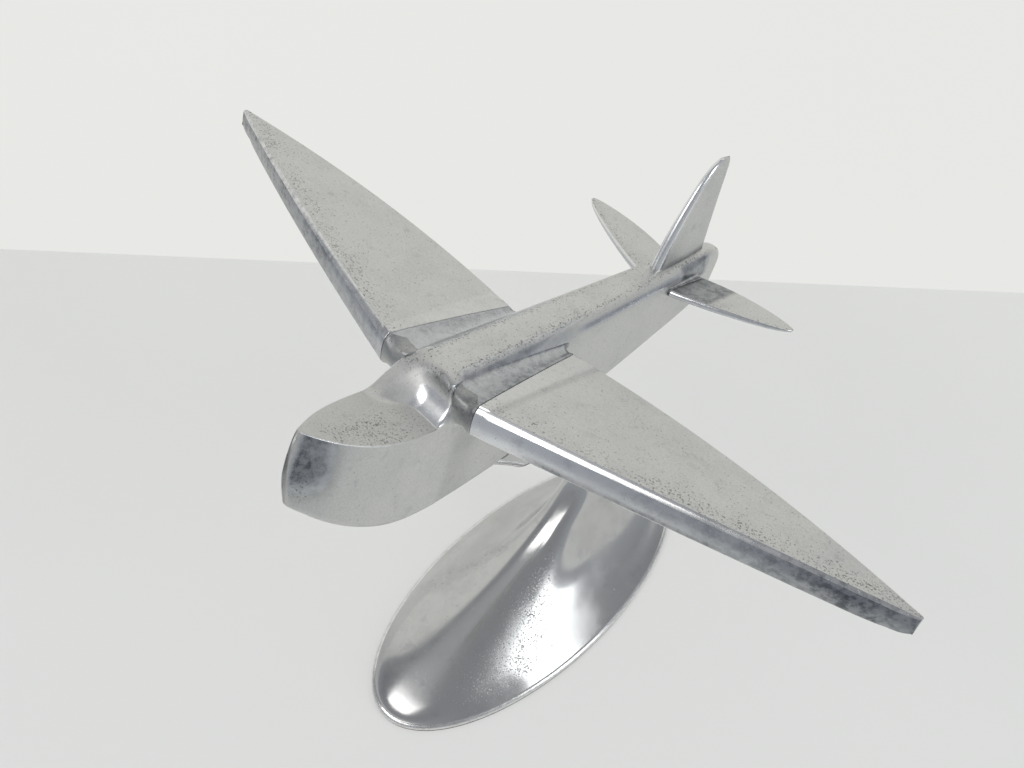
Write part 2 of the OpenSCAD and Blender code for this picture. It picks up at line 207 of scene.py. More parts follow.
def top_z(y):
    return 3.8 + 0.035 * y + 0.00018 * y * y * (1 if y > 0 else -1)


def belly_z(y):
    if y < 0:
        return BELLY_LOW + 19.6 * (-y / NOSE) ** 1.75
    if y < SEAT_Y:
        return BELLY_LOW + (SEAT_Z - BELLY_LOW) * (y / SEAT_Y) ** 1.5
    straight = SEAT_Z + SEAT_SLOPE * (min(y, TAPER_Y) - SEAT_Y)
    return straight + TAPER_SLOPE * max(0, y - TAPER_Y)


def nose_deck_z(y):
    return -DECK_DROP + 9 * clamp(-(y + 6) / 48, 0, 1.1) ** 2.3


print("body depth at the wing", round(top_z(20) - belly_z(20), 1), "mm")

# %% [markdown]
# A body section
# A section is half a curve, mirrored: a deck, a rounded shoulder, the side and a belly with soft
# corners. Where the nose is cut down, the deck is a flat roof and its edge is a filed corner, so
# the section keeps a fixed number of points on deck, corner and side. The edges then run along
# whole rows of the grid, which keeps them crisp.

# %% Section of the body
DECK_STEPS, SIDE_STEPS, BELLY_STEPS = 26, 26, 6
CORNER_T = (0.2, 0.4, 0.6, 0.8)
FILED = 0.45


def soft_min(a, b, k):
    h = clamp(0.5 + 0.5 * (b - a) / k)
    return mix(b, a, h) - k * h * (1 - h)


def half_section(y, roof, crown_top, soft):
    w = half_width(y)
    belly = belly_z(y)
    waist = min(mix(-DECK_DROP + 0.6, top_z(y) - 11, clamp(y / 60)), crown_top - 4)
    low_w = w * max(w / HALF_BODY, 0.01) ** (-0.25 * (1 - nose_share(y)))
    r = min(3.5, low_w * 0.6)

    def crown(x):
        s = clamp(x / w) ** (1 / 0.62)
        return waist + (crown_top - waist) * max(0.0, 1 - s * s) ** 0.36

    def side(z):
        if z > waist:
            c = clamp((z - waist) / (crown_top - waist)) ** (1 / 0.72)
            return w * max(0.0, 1 - c * c) ** 0.31
        return mix(w, low_w, clamp(2 * (waist - z) / (waist - belly - r)))

    shoulder = crown(0.72 * w)
    corner_z = min(roof, shoulder)
    corner_x = side(corner_z) if roof < shoulder else 0.72 * w
    deck_z = lambda x: soft_min(crown(x), roof, soft) if roof < crown_top + soft else crown(x)
    cut = min(FILED, corner_x * 0.3)
    start = Vector((corner_x - cut, deck_z(corner_x - cut)))
    deck = []
    for i in range(DECK_STEPS):
        x = (corner_x - cut) * math.sin(math.pi / 2 * i / (DECK_STEPS - 1))
        deck.append(Vector((x, deck_z(x))))
    corner = Vector((corner_x, deck_z(corner_x) if roof > shoulder else corner_z))
    finish = Vector((side(corner.y - FILED), corner.y - FILED))
    bend = [mix(mix(start, corner, t), mix(corner, finish, t), t) for t in CORNER_T]
    flank = []
    for i in range(SIDE_STEPS):
        t = (i / (SIDE_STEPS - 1)) ** 1.5
        z = mix(finish.y, belly + r, t)
        flank.append(Vector((side(z), z)))
    arc = [Vector((low_w - r + r * across, belly + r - r * down))
           for down, across in map(arc_point, range(15, 91, 15))]
    flat = [Vector(((low_w - r) * (1 - i / BELLY_STEPS), belly)) for i in range(1, BELLY_STEPS + 1)]
    return deck + bend + flank + arc + flat


sample = half_section(30, 100, top_z(30), 0.5)
print("points on half a section:", len(sample))

# %% [markdown]
# The rings of the body
# The rings start at the stem, step along the nose deck to a crisp crease, climb the hollow wall
# and roll over its lip on to the top deck. In plan the hollow runs aslant, a little further
# forward to port, so its rings are slanted too. The corner between the wall and the body's side
# was polished round, which gives the bright crescent of the photograph: there each ring turns aft
# in a small arc.

# %% Rings from stem to tail
HOLLOW_Y, LIP_Y, ROLL_END = -2.0, 3.4, 11.8
LIP_Z, SLANT = -0.6, 0.07
CRESCENT = 1.9
DECK_END = -9.0
WALL_FOOT, WALL_TOP = 38, 88
NOSE_RINGS, FLOOR_RINGS, WALL_RINGS, ROLL_RINGS, BACK_RINGS, END_RINGS = 56, 12, 22, 18, 71, 24
WALL_RING = NOSE_RINGS + FLOOR_RINGS
LIP_RING = WALL_RING + WALL_RINGS
NOSE_TRIM, TAIL_TRIM = 0.15, 0.05


def stem_shift(y, z):
    t = clamp((-3.5 - z) / 31.7)
    return (9.4 * t ** 0.8 * (1 - t) - 1.5 * t) * clamp(-y / NOSE) ** 6


def whole(half):
    return [Vector((-p.x, p.y)) for p in half] + half[-2:0:-1]


def body_ring(y, roof=100.0, crown_top=None, soft=0.4, bow=0.0, turned=0.0, k=1.0):
    top = top_z(y) if crown_top is None else crown_top
    half = half_section(y, roof, top, soft)
    corner_x = half[DECK_STEPS - 1].x + FILED
    middle = (top + belly_z(y)) / 2
    ring = []
    for j, p in enumerate(whole(half)):
        z = middle + (p.y - middle) * k - 4 * (1 - k)
        shift = -bow * SLANT * p.x
        if turned:
            reach = clamp((abs(p.x) - (corner_x - CRESCENT)) / CRESCENT)
            on_deck = min(j, len(half) * 2 - 2 - j) < DECK_STEPS
            shift += turned * CRESCENT * (1 - math.sqrt(1 - reach * reach) if on_deck else 1)
        ring.append(Vector((p.x * k, y + shift - stem_shift(y, z), z)))
    return ring


def bow_at(y):
    return smooth((y + 25) / (HOLLOW_Y + 25))


def soft_roof(y):
    return mix(nose_deck_z(y), top_z(y) + 0.5, smooth((y + 13.0) / 27.0))


def side_blended(crisp, y):
    """Starboard of the middle the hollow was ground out to a soft ramp."""
    soft = body_ring(y, soft_roof(y), soft=1.2)
    return [mix(c, s, smooth((3.0 - c.x) / 13.0)) for c, s in zip(crisp, soft)]


body_rings = []
for i in range(NOSE_RINGS):
    y = mix(-NOSE + NOSE_TRIM, DECK_END, (i / (NOSE_RINGS - 1)) ** 1.7)
    soft_y = -NOSE + (y + NOSE) * 38 / 45
    crisp = body_ring(y, nose_deck_z(y), bow=bow_at(y))
    body_rings.append(side_blended(crisp, mix(y, soft_y, smooth((y + 45) / 20))))
hollow = []
for i in range(1, FLOOR_RINGS + 1):
    y = mix(DECK_END, HOLLOW_Y - 0.12, i / FLOOR_RINGS)
    hollow.append(body_ring(y, nose_deck_z(y), bow=bow_at(y)))
(foot_run, foot_rise), (top_run, top_rise) = arc_point(WALL_FOOT), arc_point(WALL_TOP)
for i in range(WALL_RINGS):
    run, rise = arc_point(mix(WALL_FOOT, WALL_TOP, i / (WALL_RINGS - 1)))
    y = mix(HOLLOW_Y, LIP_Y, (run - foot_run) / (top_run - foot_run)) + i * 0.01
    roof = mix(-DECK_DROP, LIP_Z, (foot_rise - rise) / (foot_rise - top_rise))
    hollow.append(body_ring(y, roof, 2.6, bow=1, turned=clamp(i / 3)))
for i in range(1, ROLL_RINGS + 1):
    rise, run = arc_point(90 * i / ROLL_RINGS)
    t = 1 - run
    y = mix(LIP_Y + 0.22, ROLL_END, t)
    roof = mix(LIP_Z, top_z(ROLL_END) + 0.6, rise)
    hollow.append(body_ring(y, roof, mix(2.6, top_z(y), t), 0.3 + t, bow=1 - t, turned=1 - t))
for i, crisp in enumerate(hollow):
    body_rings.append(side_blended(crisp, mix(-16.0, ROLL_END, (i + 1) / len(hollow))))
for i in range(1, BACK_RINGS + 1):
    body_rings.append(body_ring(mix(ROLL_END, ROUND_Y, i / BACK_RINGS)))
for i in range(1, END_RINGS + 1):
    aft, k = arc_point(88.5 * i / END_RINGS)
    body_rings.append(body_ring(ROUND_Y + (END_LEN - TAIL_TRIM) * aft, k=k))
print("body rings:", len(body_rings), "of", len(body_rings[0]), "points")

# %% [markdown]
# Where the body is polished
# The photograph shows a dark polished band on each shoulder behind the hollow, a dark patch at
# the tailplane and another on the stem, pits on the nose deck, and bright edges on the stem and
# on the rim of the hollow. Each is written as a soft patch over the body's own measures. Several
# are painted light: the shoulders' dark band is a painted reflection, the stem's dark patch is a
# painted reflection over real tarnish, the hollow's lip carries a painted dark reflection, and the
# port side of the deck edge and of the hollow's wall carry painted highlights.

# %% Skin the body
def body_marks(i, j):
    step = min(j, 2 * len(sample) - 2 - j)
    x, y, z = body_rings[i][j]
    port = smooth((x + 1) / 5)
    edge = 0.0
    # The deck's edge is marked brighter to port: wear, and a painted highlight on the port side.
    if DECK_STEPS - 1 <= step < DECK_STEPS + 4 and i < LIP_RING + 6:
        edge = mix(0.35, 1.0, port) * clamp((54 - abs(y)) / 6) * clamp((-y - 16) / 14)
    out = abs(x) / half_width(y)
    below = top_z(y) - z
    rear = smooth((y - 15) / 65)
    spread, centre = mix(0.24, 0.04, rear), mix(0.74, 0.6, rear)
    # band paints the polished shoulder band dark: a painted reflection.
    band = smooth((spread - abs(out - centre)) / 0.12 + 0.5)
    band *= between(y, 7, 5, 84, 12)
    patch = between(y, 144.5, 2, 168, 4) * smooth((x - 3) / 1.5) * smooth((z - 3) / 2)
    if step < DECK_STEPS:
        wall = between(i, WALL_RING - 1, 2, LIP_RING - 3, 6)
        # rim paints the hollow's lip dark, more to port: a painted dark reflection, over real pits.
        rim = smooth(1.2 - abs(i - LIP_RING - 1) / 7)
        nose = clamp((WALL_RING - i) / 2)
        spotty = mix(0.35, 1.0, smooth((x + 9) / 12)) * smooth((y + 50) / 9)
        spotty *= mix(1, 0.6, smooth((y + 26) / 18))
        pits = mix(0.5 + 0.5 * smooth(1 - abs(out - 0.5) / 0.2), spotty, nose)
        polish = max(wall * mix(0.1, 0.6, smooth((x + 4) / 5)), band, patch)
        dark = max(0.62 * band, patch, 0.6 * rim * (0.3 + 0.7 * port))
        # The port part of the hollow's wall is painted bright: a painted highlight.
        edge_and_painted_highlight = max(edge, 0.6 * wall * smooth((x + 5) / 5))
        return polish, edge_and_painted_highlight, max(pits * (1 - 0.85 * wall), rim), dark
    # shoulder and line paint the polished shoulder dark, as the band does: a painted reflection.
    shoulder = smooth((11.5 - below) / 6) * mix(0.4, 1.0, between(y, 2, 4, 26, 12))
    shoulder *= between(y, 1, 5, 76, 12)
    line = smooth(1.2 - abs(below - 3.4) / 1.3) * between(y, 68, 12, 150, 10)
    # stem paints the stem's front dark: a painted reflection over real tarnish.
    stem = smooth((-y - 38) / 12) * smooth((z + 36) / 16) * smooth((x - 1.0) / 1.5)
    crescent = between(i, WALL_RING, 2, LIP_RING, 6) * smooth((12 - below) / 3)
    pits = 0.15 + 0.7 * smooth((-y - 46) / 5) * smooth((z + 38) / 8) * smooth((x - 1) / 2)
    dark = max(0.62 * band, 0.6 * shoulder, 0.55 * line, patch, stem)
    return max(band, shoulder, line, patch, stem, crescent, 0.15), edge, pits, dark


body = bmesh.new()
skin(body, body_rings, body_marks)
body_tree = BVHTree.FromBMesh(body)
print("body faces", len(body.faces))

# %% [markdown]
# Wing sections
# A wing is a wedge: an upright leading edge face, a nearly flat top and a thin trailing edge. In
# the casting each of its four corners is eased with a file. A section is drawn as four sides, each
# trimmed near its ends, with a small curve through each corner. Bevelling the finished mesh would
# do as well at the root, but not where the wing runs out to almost nothing at its tip.

# %% Rounded outline
def rounded(sides, corners, radii, radii_before, flat, steps, most=0.35):
    """Sides run round the section. Corner k starts side k. flat turns a round corner to a bevel."""
    points, roles = [], []
    count = len(sides)
    for k, side in enumerate(sides):
        a, b = corners[k], corners[(k + 1) % count]
        length = max((b - a).length, 0.01)
        t0 = min(most, radii[k] / length)
        t1 = 1 - min(most, radii_before[(k + 1) % count] / length)
        before = sides[k - 1]
        length_before = max((a - corners[k - 1]).length, 0.01)
        p = before(1 - min(most, radii_before[k] / length_before))
        q = side(t0)
        pull = mix(a, (p + q) / 2, flat[k])
        for t in (0.03, 0.26, 0.5, 0.74, 0.97):
            points.append(mix(mix(p, pull, t), mix(pull, q, t), t))
            roles.append((k, True))
        for i in range(steps[k] + 1):
            s = 0.5 - 0.5 * math.cos(math.pi * i / steps[k])
            points.append(side(mix(t0, t1, s)))
            roles.append((k, False))
    return points, roles


def shrunk(points, d):
    """Moves each point of an outline inwards by d."""
    moved = []
    for i, p in enumerate(points):
        along = points[(i + 1) % len(points)] - points[i - 1]
        normal = Vector((along.y, -along.x))
        moved.append(p - normal.normalized() * d if normal.length else p.copy())
    return moved


def wedge_section(front, back, face, edge, lean, belly, crown, inset=0.0, ease=1.0,
                  brow=(0.5, 0.5, 0)):
    """brow gives the top front corner's trims above and below, and how flat its bevel is."""
    chord = max(1.0, back.y - front.y)
    corners = [Vector((0, 0)), Vector((chord, 0)), Vector((chord, -edge)), Vector((lean, -face))]
    sides = [
        lambda t: Vector((chord * t, crown * 4 * t * (1 - t))),
        lambda t: Vector((chord, -edge * t)),
        lambda t: Vector((mix(chord, lean, t), mix(-edge, -face, t) - 0.8 * crown * t * (1 - t))),
        lambda t: Vector((lean * (1 - t) - belly * 4 * t * (1 - t), mix(-face, 0, t))),
    ]
    radii = [r * ease for r in (brow[0], 0.4, 0.4, 0.7)]
    before = [r * ease for r in (brow[1], 0.4, 0.4, 0.7)]
    most = 0.35 if ease <= 1 else 0.46
    flat = (brow[2] if ease <= 1 else 0, 0, 0, 0)
    outline, roles = rounded(sides, corners, radii, before, flat, (16, 2, 12, 12), most)
    if inset:
        outline = shrunk(outline, -inset)
    ring = []
    for p in outline:
        f = p.x / chord
        x, y, z = (mix(a, b, f) for a, b in zip(front, back))
        ring.append(Vector((x, y, z + p.y)))
    return ring, roles


tried, _ = wedge_section(Vector((0, 0, 0)), Vector((0, 60, 0)), 12, 1.4, 0.7, 0.9, 0.5)
print("points on a wing section:", len(tried))

# %% [markdown]
# The wings
# Each wing is its own casting, pushed on two hidden rods against a stub on the body. The joint
# shows as a dark line, so the wing's root keeps its small gap and gets a filed edge. The tip is
# closed with two shrinking rings, which rounds it as the file did.

# %% Wing rings
HALF_SPAN = 170.0
ROOT_X, ROOT_BACK_X = 22.8, 16.8


def wing_share(x):
    return (x - 9.9) / (HALF_SPAN - 9.9)


def wing_front(x):
    u = wing_share(x)
    return Vector((x, 49.3 * (0.7 * u + 0.3 * u * u), 16.6 * u - 8 * u * u))


def wing_back(x):
    u = wing_share(x)
    return Vector((x, 62.3 + (49.3 + 1.8 - 62.3) * u + 28 * u * (1 - u), 8.6 * u))


def wing_ring(v, inset=0.0, shift=0.0, soften=1.0):
    xf, xb = mix(ROOT_X, HALF_SPAN, v), mix(ROOT_BACK_X, HALF_SPAN, v)
    front, back = wing_front(xf), wing_back(xb)
    u = wing_share(xf)
    face = (12.4 - 1.4 * u) * (1 - 0.36 * u ** 36)
    chord = back.y - front.y
    ring, roles = wedge_section(front, back, face, 1.4, min(0.7 + 2 * v, chord * 0.4),
                                min(0.9, chord * 0.2), 0.5 - 0.4 * v, inset,
                                soften * min(1, chord / 6),
                                (mix(1.3, 0.7, v), mix(2.7, 1.2, v), 0.65))
    collar = 0.3 * smooth((0.031 - v) / 0.006) * (1 if soften == 1 else 0)
    top = [0 if side else collar * (0.5 if corner else 1) for side, corner in roles]
    return [p + Vector((shift, 0, up)) for p, up in zip(ring, top)], roles


def wing_rings():
    tip = 0.9975
    places = [(0, 0.3, 0.15), (0, 0.12, 0.2), (0, 0.03, 0.3)]
    places += [(mix(0.0028, tip, (i / 110) ** 1.35),) for i in range(111)]
    places += [(tip, 0.12, 0.2), (tip, 0.35, 0.36)]
    return [wing_ring(*place)[0] for place in places]


def wedge_marks(rings, roles, root_rows, band, tone):
    """tone(share, down, leading) gives how dark a point is, share running from root to tip."""
    reach = max(p.x for ring in rings for p in ring) - rings[0][0].x

    def marks(i, j):
        side, corner = roles[j]
        p = rings[i][j]
        leading = side == 3 or (side == 0 and corner)
        edge = 1.0 if corner and side in (0, 3) else 0.5 if corner else 0.0
        if i < root_rows or i >= len(rings) - 2:
            edge = max(edge, 0.4)
        behind = p.y - min(q.y for q in rings[i][:6])
        share = (p.x - rings[0][0].x) / reach
        edge = max(edge, 0.3 * smooth((0.03 - share) / 0.01))
        down = clamp((rings[i][0].z - p.z) / 11)
        dark = tone(share, down, leading)
        if leading:
            return mix(0.8, 1.0, smooth(share / 0.3)), edge, 0.15, dark
        speckled = mix(0.45, 1.0, math.exp(-((behind - 0.8 * band) / band) ** 2))
        pits = speckled * mix(0.8, 1, share) if side == 0 else 0.3
        return smooth(dark - 0.4), edge * (1 - 0.8 * dark), pits, dark
    return marks


def blade_pair(rings, roles, root_rows, band, blades):
    """Skins the port blade and its mirror image. blades gives each one's node and tone."""
    for sign, (label, tone) in zip((1, -1), blades):
        bm = bmesh.new()
        skin(bm, rings, wedge_marks(rings, roles, root_rows, band, tone))
        if sign < 0:
            bmesh.ops.scale(bm, vec=(-1, 1, 1), verts=bm.verts)
            bmesh.ops.reverse_faces(bm, faces=bm.faces)
        piece(label + "_casting", bm, AIRFRAME, label)


# On the leading edge this tone is painted: darker towards the tip as a painted reflection of the dark
# room, and stain darkens the lower half of the face over the middle of the span. On the top, the dark
# strip just outside the root is painted shade of a shallow valley.
def port_wing_tone(share, down, leading):
    if not leading:
        return 0.2 * smooth(1 - abs(share - 0.034) / 0.02)
    stain = between(share, 0.1, 0.1, 0.75, 0.2) * smooth((down - 0.45) / 0.35)
    return clamp(max(mix(-0.1, 1.15, share), 0.9 * stain))


# As on the port wing, the leading edge is painted darker towards the tip: a painted reflection.
def starboard_wing_tone(share, down, leading):
    return clamp(mix(0.55, 1.3, share)) if leading else 0


blade_pair(wing_rings(), wing_ring(0)[1], 3, 5.5,
           (("port_wing", port_wing_tone), ("starboard_wing", starboard_wing_tone)))

# %% [markdown]
# Stubs with hollow fillets
# The body meets each wing and tailplane in a stub that grows out of its side in one smooth sweep.
# Every point of the joint's outline runs along its own curve: it leaves the joint along the wing
# and arrives on the body's side flat against the surface, which a ray cast on the body finds.
# The stub sinks a hair below the body there, so the two skins share one smooth surface.

# %% Stub helper
SUNK, ANCHORED = 0.04, 1.5


def stub_rings(face_rings, soft_outline, along, growth):
    """face_rings start at the joint and end one step inside it. growth gives y and z per point."""
    outline = face_rings[-1]
    y0, y1 = min(p.y for p in outline), max(p.y for p in outline)
    z0, z1 = min(p.z for p in outline), max(p.z for p in outline)
    ends = []
    for p in soft_outline:
        f, g = (p.y - y0) / (y1 - y0), (p.z - z0) / (z1 - z0)
        grow = growth(f, g)
        goal = Vector((30, p.y + grow.y, p.z + grow.z))
        hit, normal, _, _ = body_tree.ray_cast(goal, Vector((-1, 0, 0)))
        if hit is None or hit.x < 5:
            hit, normal, _, _ = body_tree.find_nearest(Vector((9, goal.y, goal.z)))
        lead = Vector((0, grow.y, grow.z))
        lead -= normal * lead.dot(normal)
        if lead.length > 1e-3:
            lead = lead.normalized() * clamp(Vector((grow.y, grow.z)).length / 1.5)
        ends.append((hit, normal, lead))
    rings = list(face_rings)
    for i in range(1, 25):
        t = i / 24
        ring = []
        for p, soft, (hit, normal, lead) in zip(outline, soft_outline, ends):
            start = mix(p, soft, smooth(t * 5))
            reach = (hit - p).length
            target = hit - normal * SUNK
            c1 = start + along * reach * 0.6
            c2 = target - lead * reach * 0.5
            s = 1 - t
            ring.append(start * s ** 3 + c1 * 3 * s * s * t + c2 * 3 * s * t * t + target * t ** 3)
        rings.append(ring)
    rings.append([hit - normal * ANCHORED for hit, normal, _ in ends])
    return rings


def wing_growth(f, g):
    at_front = clamp(1 - f * 8)
    return Vector((0, mix(mix(-4.5, 2.2, g), mix(0, 5.0, f), 1 - at_front),
                   mix(-4.5, 1.4 * (0.6 + 0.8 * f) * (1 - at_front), g)))


wing_stub = stub_rings(
    [wing_ring(0, *trim)[0] for trim in ((0.28,), (0.1, -0.06), (0.0, -0.3))],
    wing_ring(0, 0.0, -0.3, 5)[0], Vector((-1, -0.1, -0.05)).normalized(), wing_growth)
print("wing stub rings:", len(wing_stub))

# %% [markdown]
# The tailplane
# The tailplane repeats the wing at a smaller size, a thin blade with a lighter face. Its two
# halves are pressed on a rod that passes through the tail.

# %% Tailplane rings
TAIL_ROOT, TAIL_TIP = 9.2, 56


def tail_ring(x, inset=0.0, shift=0.0, soften=1.0):
    u = (x - TAIL_ROOT) / (TAIL_TIP - TAIL_ROOT)
    tip = 1 - u ** 6 * 0.55
    blunt = u ** 4 * math.sqrt(max(0.0, 1 - u ** 10))
    level = 5.8 + 3.3 * u
    front = Vector((x, 135 + 14.7 * u + 7.9 * u * u + 1.2 * u ** 8 - 2.0 * blunt, level))
    back = Vector((x, 160 + 16.5 * u - 16.5 * u * u - 0.4 * u ** 8 + 1.6 * blunt, level))
    ring, roles = wedge_section(front, back, 3.2 * (1 - 0.35 * u) * tip, 1.0 * tip, 0.3,
                                0.5 * (1 - 0.8 * u), 0.25 - 0.2 * u, inset, soften * mix(0.8, 0.45, u),
                                (0.5, 1.4, 0.5))
    return [p + Vector((shift, 0, 0)) for p in ring], roles


def tail_rings():
    end = TAIL_TIP - 0.3
    places = [(TAIL_ROOT, 0.25, 0.15), (TAIL_ROOT, 0.08, 0.22)]
    places += [(mix(TAIL_ROOT + 0.3, end, 1 - (1 - i / 50) ** 1.5),) for i in range(51)]
    places += [(end, 0.1, 0.18), (end, 0.28, 0.29)]
    return [tail_ring(*place)[0] for place in places]


def port_tail_tone(share, down, leading):
    return 0.3 if leading else 0.85 * smooth((0.36 - share) / 0.07)


def starboard_tail_tone(share, down, leading):
    return 0.3 if leading else 0.0


blade_pair(tail_rings(), tail_ring(TAIL_ROOT)[1], 2, 2.5,
           (("port_tailplane", port_tail_tone), ("starboard_tailplane", starboard_tail_tone)))


def tail_growth(f, g):
    return Vector((0, mix(-3.5, 4.0, f), mix(-2.0, 1.1, g)))


tail_stub = stub_rings(
    [tail_ring(TAIL_ROOT, *trim)[0] for trim in ((0.22,), (0.07, -0.07), (0.0, -0.25))],
    tail_ring(TAIL_ROOT, 0.0, -0.25, 3)[0], Vector((-1, -0.2, -0.07)).normalized(), tail_growth)
print("tail stub rings:", len(tail_stub))

# %% [markdown]
# Stubs and body as one casting
# The four stubs join the body's mesh, because they were cast with it. Their tops are painted
# darker, most of all near the joint and near the body, and more so to port than to starboard: this
# is painted shade in the creases there and a painted dark reflection over the wing stubs' tops and
# fronts, and on the port tailplane's stub it runs into that tailplane's dark stain.

# %% Add the stubs to the body
def stub_marks(rings, roles, dark_top):
    def marks(i, j):
        side, corner = roles[j]
        front, top = side == 3 or corner, side == 0
        # The darkness here is painted: shade in the creases near the joint and the body, and a dark
        # reflection over the top and the upper front.
        near = 1 - clamp((i - 3) / 20)
        high = smooth((rings[i][j].z + 11) / 7) if front else 1.0 if top else 0.1
        painted_shade = max(smooth((near - 0.5) / 0.45), smooth((0.3 - near) / 0.3), 0 if top else 0.6)
        dark = clamp(dark_top * high * mix(0.75, 1.0, painted_shade))
        return 0.2 if front else 0.9, 0.0, 0.4 if top else 0.1, dark
    return marks


for rings, roles, tones in ((wing_stub, wing_ring(0)[1], (0.8, 0.62)),
                            (tail_stub, tail_ring(TAIL_ROOT)[1], (1.0, 0.1))):
    for sign, tone in zip((1, -1), tones):
        side_rings = [[Vector((sign * p.x, p.y, p.z)) for p in ring] for ring in rings]
        skin(body, side_rings, stub_marks(side_rings, roles, tone))
piece("fuselage_casting", body, AIRFRAME, "fuselage")

# %% [markdown]
# The fin
# The fin is a separate blade set into the deck. Its leading edge is wide, round and polished, and
# it thins to a fine trailing edge. Level rings follow its outline up to the tip, and its foot
# follows the deck's slope, sunk by a millimetre into its seat.

# %% Fin rings
FIN_FRONT, FIN_BACK, FIN_TALL = 130.3, 166.3, 48
FIN_SUNK, FIN_END = 1, 0.991


def fin_ring(t, inset=0.0):
    z = t * FIN_TALL
    tip = 1 - math.sqrt(1 - 0.98 * clamp((t - 0.88) / 0.12) ** 2)
    front = FIN_FRONT + 15.5 * t ** 1.6 + 2.5 * clamp((t - 0.75) / 0.25) ** 2 + 3.0 * tip
    back = FIN_BACK - 8.3 * t ** 0.85 - 2.5 * tip
    w = 2.7 * (1 - 0.55 * t) * (1 - 0.5 * tip)
    waist = mix(front, back, 0.5)
    nose = front + 1.3 * w
    half = [Vector((w * out, nose - 1.3 * w * ahead))
            for out, ahead in (arc_point(180 * i / 32) for i in range(17))]
    for i in range(1, 15):
        s = i / 14
        thin = mix(w, 0.8 * w, s * 2) if s < 0.5 else mix(0.8 * w, 0.25 * w, (s - 0.5) * 2)
        thin = mix(thin, w * (1 - 0.2 * s - 0.55 * s ** 3), 0.7)
        half.append(Vector((thin, mix(nose, back - 0.3, s))))
    half += [Vector((half[-1].x * out, back - 0.3 + 0.3 * aft))
             for aft, out in map(arc_point, (30, 60, 90))]
    outline = half + [Vector((-p.x, p.y)) for p in half[-2:0:-1]]
    if inset:
        outline = shrunk(outline, inset)
    ring = []
    for p in outline:
        back_share = (p.y - FIN_FRONT) / (FIN_BACK - FIN_FRONT)
        foot = mix(top_z(FIN_FRONT), top_z(FIN_BACK), back_share) - FIN_SUNK
        ring.append(Vector((p.x, p.y, foot + z)))
    return ring


fin_rings = [fin_ring(FIN_END * i / 60) for i in range(61)]
for rise, inset in ((0.12, 0.1), (0.2, 0.3)):
    fin_rings.append([p + Vector((0, 0, rise)) for p in fin_ring(FIN_END, inset)])
fin_count = len(fin_rings[0])


def fin_marks(i, j):
    step = min(j, fin_count - j)
    leading = clamp((17 - step) / 3) * 0.6
    # edge is set on the port side only: a painted highlight along the leading edge.
    edge = clamp((8 - abs(step - 10)) / 5) * (1.0 if fin_rings[i][j].x > 0 else 0.0)
    # foot paints the fin darker near the deck: painted shade in the crease at its foot.
    foot = smooth(1 - (fin_rings[i][j].z - fin_rings[0][j].z - FIN_SUNK) / 4)
    return leading, edge, 0.3 if step > 16 else 0.0, 0.7 * foot * (1 - leading)


bm = bmesh.new()
skin(bm, fin_rings, fin_marks)
piece("fin_casting", bm, AIRFRAME, "fin")

# %% [markdown]
# The stand
# The stand is one casting that sweeps up from an oval foot into a slim neck and swells again to
# the head under the belly. Level rings describe it well. A plane then cuts the top off along the
# belly, and the cut's edge is eased, so that a fine shadow line shows between stand and body.

# %% Stand rings
FOOT_LEN, FOOT_W, LIP_TOP, SWEEP_TALL = 194.8, 90.8, 3.8, 75
LIP_INSET = 2.1
SEAT_MID = SEAT_Y + 23.5
HEAD_Y = WING_Y + SEAT_MID * math.cos(CLIMB) + belly_z(SEAT_MID) * math.sin(CLIMB)
HEAD_Z = WING_Z + belly_z(SEAT_MID) * math.cos(CLIMB) - SEAT_MID * math.sin(CLIMB)


def neck_y(z):
    return mix(40, HEAD_Y, max(0, (z - 50) / (HEAD_Z - 50)) ** 2)


def sweep(z, p):
    return clamp(1 - (z - LIP_TOP) / SWEEP_TALL) ** p


def toe_height(z):
    """The toe is domed: low down it keeps its length longer."""
    up = max(0.0, z - LIP_TOP)
    return z - 7.5 * (1 - math.exp(-up / 8)) * (1 - smooth(up / SWEEP_TALL))


def stand_ring(z, inset, dome=True):
    share = clamp((z - HEAD_Z + 20 + 24) / 24) ** 4
    broad = 1 - 0.15 * between(z, 4, 8, 80, 40)
    square = mix(broad, 0.42, share ** 0.6)
    a0 = FOOT_LEN / 2 - inset
    front, back, side = -a0, a0, FOOT_W / 2 - inset
    if dome:
        swell = mix(24, 40, share) / 2
        set_back = 8 * smooth((z - 46) / 26) * (1 - smooth((z - 82) / 30))
        front = neck_y(z) - swell + set_back - 4.5 * share - (a0 + 28) * sweep(toe_height(z), 3)
        back = neck_y(z) + swell + (a0 - 52) * sweep(z, 3.1)
        side = mix(19, 23, share) / 2 + (side - 9.5) * sweep(z, 4.0)
    mid, half = (front + back) / 2, (back - front) / 2
    ring = []
    for i in range(120):
        x, y = (power(v, square) for v in arc_point(3 * i))
        ring.append(Vector((side * x, mid + half * y, z)))
    return ring


LIP_STEPS = ((1.9, 0.05), (2.3, 0.17), (2.7, 0.36), (3.05, 0.64), (3.35, 1.0), (3.6, 1.45), (3.74, 1.8))
stand_rings = [stand_ring(1.2 + 0.4 * (1 - up), 0.4 * (1 - out), False)
               for out, up in map(arc_point, (0, 30, 60, 90))]
stand_rings += [stand_ring(z, inset, False) for z, inset in LIP_STEPS]
heights = [LIP_TOP + SWEEP_TALL * (i / 90) ** 1.7 for i in range(91)]
heights += [mix(LIP_TOP + SWEEP_TALL, HEAD_Z + 14, (i / 50) ** 0.85) for i in range(1, 51)]
stand_rings += [stand_ring(z, LIP_INSET) for z in heights]
print("stand rings:", len(stand_rings))


